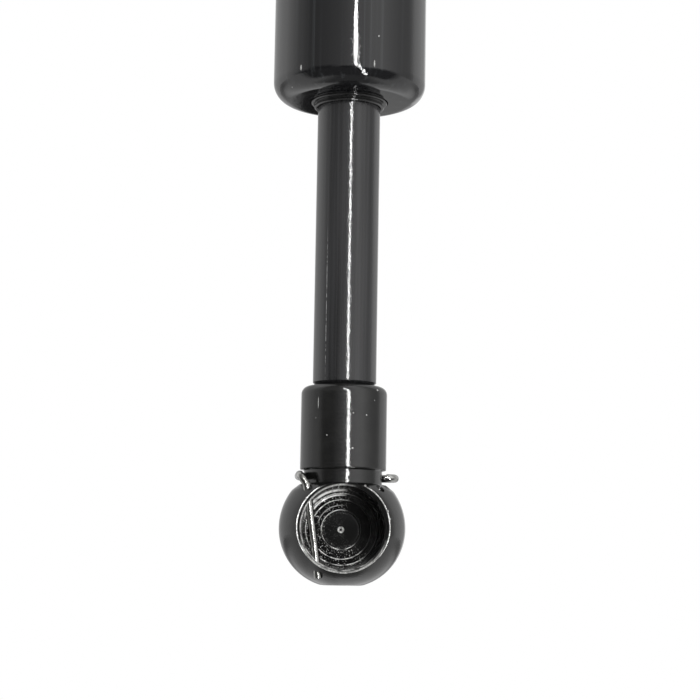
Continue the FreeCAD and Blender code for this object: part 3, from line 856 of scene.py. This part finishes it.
def wire_path():
    """The clip's centre line: its tail, the bends with straight runs between them, and the tab's tip."""
    wrap = neck_radius + neck_gap + wire_radius
    height = neck_end - wrap_top_gap - wire_radius
    tail = leg_point(tail_lift - chin_drop)
    kink = leg_point(neck_start - kink_drop)
    leg_top = leg_point(height)
    corner = leg_top + Vector((-corner_lean, 0, 0))
    reach = math.hypot(corner.x, corner.y)
    start_angle = math.atan2(corner.y, corner.x) - math.acos(wrap / reach) + 2 * math.pi
    end_angle = math.atan2(-leg_top.y, -leg_top.x)
    wrap_start = Vector((wrap * math.cos(start_angle), wrap * math.sin(start_angle), height))
    wrap_end = Vector((wrap * math.cos(end_angle), wrap * math.sin(end_angle), height))
    heading = end_angle - math.pi / 2
    forward = Vector((math.cos(heading), math.sin(heading), 0))
    tab_start = wrap_end + forward * tab_lead
    tab_centre = tab_start + Vector((-forward.y, forward.x, 0)) * tab_bend
    turn_start = tab_centre + Vector((tab_run, -tab_bend, 0))
    bends = [
        bend_of(tail, kink, corner, kink_bend),
        bend_of(kink, corner, wrap_start, corner_bend),
        (wrap_start, Vector((0, 0, height)), -UP, start_angle - end_angle),
        (tab_start, tab_centre, UP, -heading),
        (turn_start, turn_start + Vector((0, -tab_turn, 0)), -UP, math.pi),
    ]
    return tail, bends, turn_start + Vector((-tab_run, -2 * tab_turn, 0))


def make_clip(name, turn, body, node):
    """Wire clip, bent from one straight wire."""
    step_degrees = 5
    fewest_steps = 6
    tail, bends, tip = wire_path()
    along = leg_point(0) - tail
    bpy.ops.object.select_all(action="DESELECT")
    bpy.ops.mesh.primitive_circle_add(
        vertices=WIRE_AROUND, radius=wire_radius, fill_type="NGON", location=tail,
        rotation=along.to_track_quat("Z", "Y").to_euler())
    piece = bpy.context.object
    piece.name = name
    piece.data.name = name
    settle(piece)
    bpy.ops.object.mode_set(mode="EDIT")
    bpy.ops.mesh.select_all(action="SELECT")
    here = tail
    for start, centre, axis, angle in bends:
        bpy.ops.mesh.extrude_region_move(TRANSFORM_OT_translate={"value": start - here})
        steps = max(fewest_steps, int(math.degrees(angle) / step_degrees))
        bpy.ops.mesh.spin(steps=steps, angle=-angle, center=centre, axis=axis)
        here = centre + Matrix.Rotation(angle, 3, axis) @ (start - centre)
    bpy.ops.mesh.extrude_region_move(TRANSFORM_OT_translate={"value": tip - here})
    bpy.ops.mesh.select_all(action="SELECT")
    bpy.ops.mesh.remove_doubles(threshold=MERGE)
    bpy.ops.mesh.normals_make_consistent(inside=False)
    bpy.ops.object.mode_set(mode="OBJECT")
    piece.data.materials.append(WIRE)
    piece.matrix_world = turn
    settle(piece)
    finish_piece(piece, body, node, sharp=40)


make_tube()
make_rod()
make_wiper()
make_end_plug()
at_rod = Matrix.Translation((0, 0, rod_ball))
at_tube = Matrix.Rotation(math.pi, 4, "Y")
make_socket("rod_ball_socket_turned", at_rod, ROD_CAVITY, ROD_WORN_AND_LIT, "rod", "rod_ball_socket")
make_socket("tube_ball_socket_turned", at_tube, TUBE_CAVITY, TUBE_WORN_AND_LIT, "cylinder", "tube_ball_socket")
make_clip("rod_clip_wire", at_rod, "rod_clip", "rod_safety_clip")
make_clip("tube_clip_wire", at_tube, "tube_clip", "tube_safety_clip")

# The CAD's own meshes are right for the pieces inside the tube, and get a better finish
finishes = {
    "seal_support_washer": STEEL, "piston_stop_washer": STEEL, "throttle_disc": STEEL,
    "rivet_washer": STEEL, "rod_guide": ALLOY, "piston": ALLOY, "guide_bush": BRONZE,
    "piston_ring": RING_PLASTIC, "rod_seal": RUBBER, "guide_o_ring": RUBBER, "end_plug_o_ring": RUBBER,
}
for node, finish in finishes.items():
    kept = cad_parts[node]
    kept.data.materials.clear()
    kept.data.materials.append(finish)


def floor_in_gloss(tree, place):
    """Brightness of the floor as glossy pieces see it, by places in metres: a painted reflection that is
    light, but with painted shade under the strut, in front of it and far behind it, and darkest along a
    narrow strip far behind it."""
    bright = 1.1
    strip_middle = 5 * MM
    x, y, _ = axes(tree, place)
    far_out = vector_step(tree, "LENGTH", place).outputs["Value"]
    backward = combine(tree, "DIVIDE", y, far_out)
    beside = combine(tree, "ABSOLUTE", x)
    off_strip = combine(tree, "ABSOLUTE", combine(tree, "SUBTRACT", x, strip_middle))
    in_front = ramp(tree, combine(tree, "MULTIPLY", backward, -1.0), [(0.1, 0.0), (0.35, 1.0)])
    nearly_under = ramp(tree, combine(tree, "SUBTRACT", 0.1, y), [(0.0, 0.0), (0.04, 1.0)])
    behind = ramp(tree, backward, [(0.3, 0.0), (0.7, 1.0)])
    dark_under = all_of(tree, nearly_under, ramp(tree, beside, [(0.07, 1.0), (0.15, 0.0)]))
    dark_front = all_of(tree, in_front, ramp(tree, far_out, [(0.16, 0.0), (0.23, 1.0)]))
    dark_back = all_of(tree, behind, ramp(tree, far_out, [(0.45, 0.0), (0.75, 1.0)]))
    on_strip = ramp(tree, off_strip, [(0.014, 1.0), (0.022, 0.0)])
    dark_strip = all_of(tree, on_strip, ramp(tree, y, [(0.4, 0.0), (0.48, 1.0)]))
    level = (bright, bright, bright)
    # Painted shade: each dark zone pulls the floor's glow down to its own level
    for dark, left in ((dark_under, 0.3), (dark_front, 0.14), (dark_back, 0.4), (dark_strip, 0.03)):
        level = blend(tree, dark, level, (left, left, left))
    return level


def make_floor():
    """Pale floor well below the strut, white to the camera, and glowing in a painted pattern of light and
    shade to glossy rays.
    """
    floor_size = 2.4
    floor_height = -0.36
    pale_grey = (0.85, 0.85, 0.85)
    glow_to_camera = 0.6
    bpy.ops.object.select_all(action="DESELECT")
    bpy.ops.mesh.primitive_plane_add(size=floor_size, location=(0, 0, floor_height))
    floor = bpy.context.object
    floor.name = "floor"
    material, tree, shader, place = new_material(
        "pale_floor", pale_grey, 0.9, Specular_IOR_Level=0.0, Emission_Color=(1, 1, 1, 1))
    path = tree.nodes.new("ShaderNodeLightPath")
    glow = combine(tree, "MULTIPLY", path.outputs["Is Camera Ray"], glow_to_camera)
    tree.links.new(glow, shader.inputs["Emission Strength"])
    shine = tree.nodes.new("ShaderNodeEmission")
    tree.links.new(floor_in_gloss(tree, place), shine.inputs["Color"])
    choice = tree.nodes.new("ShaderNodeMixShader")
    tree.links.new(path.outputs["Is Glossy Ray"], choice.inputs["Fac"])
    tree.links.new(shader.outputs["BSDF"], choice.inputs[1])
    tree.links.new(shine.outputs["Emission"], choice.inputs[2])
    tree.links.new(choice.outputs["Shader"], tree.nodes["Material Output"].inputs["Surface"])
    floor.data.materials.append(material)


def by_azimuth(tree, turn, stops):
    """Value by the direction round the strut, in stops at degrees from the front, right positive."""
    return ramp(tree, turn, [((angle + 180) / 360, level) for angle, level in stops])


def room_in_gloss(tree, direction):
    """Brightness of the room as glossy pieces see it: walls all round, a dark card at the front left, the
    dark viewer in front, and a dark lower half in front. The walls' numbers are half their brightness."""
    whole = 2.0
    x, y, z = axes(tree, direction)
    around = combine(tree, "ARCTAN2", x, combine(tree, "MULTIPLY", y, -1.0))
    turn = share_of(tree, around, -math.pi, math.pi)
    walls = by_azimuth(tree, turn, [
        (-180, 0.3), (-150, 0.35), (-128, 0.5), (-112, 0.62), (-98, 0.55), (-88, 0.42), (-76, 0.34),
        (-62, 0.18), (-50, 0.2), (-36, 0.24), (-20, 0.3), (-6, 0.42), (4, 0.6), (20, 0.6), (32, 0.75),
        (48, 0.75), (60, 0.6), (76, 0.42), (96, 0.32), (104, 0.36), (112, 0.58), (128, 0.5), (150, 0.33),
        (156, 0.33), (159, 0.5), (167, 0.5), (170, 0.3), (180, 0.3),
    ])
    card = by_azimuth(tree, turn, [(-68, 0.0), (-56, 1.0), (-30, 1.0), (-16, 0.0)])
    card = all_of(tree, card, ramp(tree, z, [(0.03, 0.8), (0.2, 0.0)]))
    viewer = by_azimuth(tree, turn, [(-24, 0.0), (-14, 1.0), (3, 1.0), (7, 0.0)])
    viewer = all_of(tree, viewer, ramp(tree, z, [(0.035, 0.9), (0.06, 0.0)]))
    below = by_azimuth(tree, turn, [(-95, 0.0), (-75, 1.0), (60, 1.0), (80, 0.0)])
    below = all_of(tree, below, ramp(tree, combine(tree, "MULTIPLY", z, -1.0), [(0.0, 0.0), (0.12, 0.8)]))
    dark = any_of(tree, card, viewer, below)
    return all_of(tree, walls, combine(tree, "SUBTRACT", whole, combine(tree, "MULTIPLY", dark, whole)))


def make_room():
    """Room that is white to the camera, an even grey as light on matt surfaces, and patterned in gloss."""
    white = (1.0, 1.0, 1.0)
    even_grey = (0.5, 0.5, 0.5)
    world = bpy.data.worlds.new("studio")
    bpy.context.scene.world = world
    world.use_nodes = True
    tree = world.node_tree
    tree.nodes.clear()
    out = tree.nodes.new("ShaderNodeOutputWorld")
    background = tree.nodes.new("ShaderNodeBackground")
    tree.links.new(background.outputs["Background"], out.inputs["Surface"])
    place = tree.nodes.new("ShaderNodeTexCoord")
    pattern = room_in_gloss(tree, place.outputs["Generated"])
    path = tree.nodes.new("ShaderNodeLightPath")
    soft = blend(tree, path.outputs["Is Glossy Ray"], even_grey, pattern)
    plain = any_of(tree, path.outputs["Is Camera Ray"], path.outputs["Is Transmission Ray"])
    tree.links.new(blend(tree, plain, soft, white), background.inputs["Color"])


def make_lamp(name, start, end, width, level):
    """Lamp strip between two points, which faces the strut and looks as bright as its level."""
    aim = Vector((0, 0, -0.14))
    start, end = Vector(start), Vector(end)
    middle = (start + end) / 2
    along = (end - start).normalized()
    away = middle - aim
    away = (away - along * away.dot(along)).normalized()
    data = bpy.data.lights.new(name, "AREA")
    data.shape = "RECTANGLE"
    data.size = width
    data.size_y = (end - start).length
    data.energy = level * math.pi * width * data.size_y
    item = bpy.data.objects.new(name, data)
    bpy.context.scene.collection.objects.link(item)
    turn = Matrix((along.cross(away), along, away)).transposed()
    item.matrix_world = Matrix.Translation(middle) @ turn.to_4x4()


def make_camera():
    """Camera low on the left, looking up a little."""
    place = Vector((-6.666, -224.7494, -171.9433)) * MM
    yaw, pitch, roll = math.radians(1.8574), math.radians(7.4566), math.radians(0.95)
    focal_pixels = 1793.93
    picture_width = 700
    data = bpy.data.cameras.new("camera")
    camera = bpy.data.objects.new("camera", data)
    bpy.context.scene.collection.objects.link(camera)
    data.sensor_width = 36
    data.lens = focal_pixels / picture_width * data.sensor_width
    data.clip_start = 0.01
    data.clip_end = 20
    forward = Vector((math.sin(yaw) * math.cos(pitch), math.cos(yaw) * math.cos(pitch), math.sin(pitch)))
    right = Vector((math.cos(yaw), -math.sin(yaw), 0))
    up = right.cross(forward)
    turned_right = right * math.cos(roll) + up * math.sin(roll)
    turned_up = up * math.cos(roll) - right * math.sin(roll)
    turn = Matrix((turned_right, turned_up, -forward)).transposed()
    camera.matrix_world = Matrix.Translation(place) @ turn.to_4x4()
    bpy.context.scene.camera = camera


make_floor()
make_room()
make_lamp("strip_lamp", (0.268, -1.173, -0.2), (-0.02, -1.21, 0.75), width=0.034, level=110.0)
make_lamp("low_strip_lamp", (0.268, -1.173, -0.205), (0.113, -0.218, -0.352), width=0.01, level=95.0)
make_camera()
bpy.context.scene.view_settings.view_transform = "Standard"
